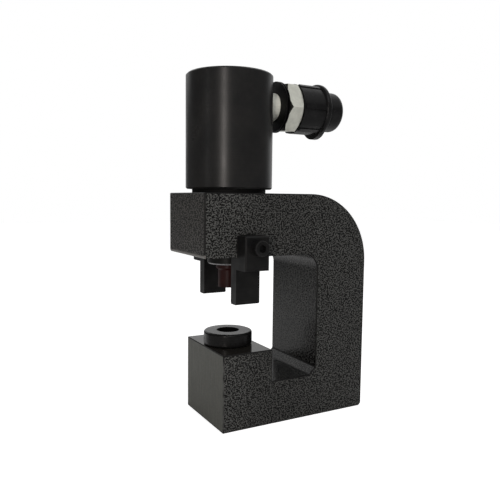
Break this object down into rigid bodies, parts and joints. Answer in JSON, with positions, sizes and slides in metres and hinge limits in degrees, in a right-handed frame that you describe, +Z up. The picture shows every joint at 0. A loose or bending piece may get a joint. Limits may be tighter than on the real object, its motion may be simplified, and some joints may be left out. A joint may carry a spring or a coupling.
{
  "type": "hydraulic hole punch",
  "caption": "Split hydraulic C-frame punch head: screw-in cylinder, spring-returned ram with round punch, ring die, stripper bars and a capped hose coupler.",
  "frame": {"origin": "on the punch axis, at the base, in the mouth of the slug hole", "axes": "+Z up along the punch axis, +X from the punch towards the back of the throat and along the hose coupler, +Y to the far side of the frame"},
  "size_m": [0.1641, 0.1214, 0.3023],
  "materials": {
    "frame_paint": "dark grey hammered paint on a steel forging",
    "black_oxide": "satin black oxide on steel",
    "nut_steel": "dark phosphated steel",
    "punch_steel": "dark red-brown heat-treated tool steel",
    "plated_steel": "pale plated steel",
    "plain_steel": "turned steel",
    "spring_steel": "oiled spring wire",
    "bronze": "turned bronze",
    "seal_plastic": "moulded polyurethane seal",
    "white_plastic": "turned white plastic",
    "black_rubber": "moulded rubber",
    "black_plastic": "moulded black plastic, slightly glossy"
  },
  "bodies": {
    "frame": {"c_frame": "frame_paint", "barrel": "black_oxide", "barrel_lock_screw": "black_oxide", "guide_bush": "bronze", "rod_wiper": "seal_plastic", "spring_seat": "plain_steel", "return_spring": "spring_steel", "lower_die": "black_oxide", "die_lock_screw": "black_oxide", "near_stripper": "black_oxide", "far_stripper": "black_oxide", "stripper_screws": "black_oxide", "port_seal": "bronze", "port_nipple": "plated_steel", "tether_ring": "black_plastic", "coupler_body": "plated_steel", "coupler_o_ring": "black_rubber", "valve_guide": "plain_steel", "valve_spring": "spring_steel"},
    "ram": {"piston_ram": "plain_steel", "piston_seal": "seal_plastic", "backup_ring": "white_plastic", "piston_guide_ring": "bronze", "punch_nut": "nut_steel", "punch": "punch_steel"},
    "valve": {"valve_poppet": "plated_steel"},
    "cap": {"dust_cap": "black_plastic"}
  },
  "joints": [
    {"name": "ram_slide", "type": "slide", "parent": "frame", "child": "ram", "axis": [0, 0, -1], "range_m": [0, 0.043], "stiffness_N_per_m": 7000, "springref_m": -0.03, "deforming": ["return_spring"]},
    {"name": "cap_slide", "type": "slide", "parent": "frame", "child": "cap", "axis": [1, 0, 0], "range_m": [0, 0.08]},
    {"name": "valve_slide", "type": "slide", "parent": "frame", "child": "valve", "axis": [-1, 0, 0], "range_m": [0, 0.003], "stiffness_N_per_m": 1500, "springref_m": -0.002, "deforming": ["valve_spring"]}
  ]
}
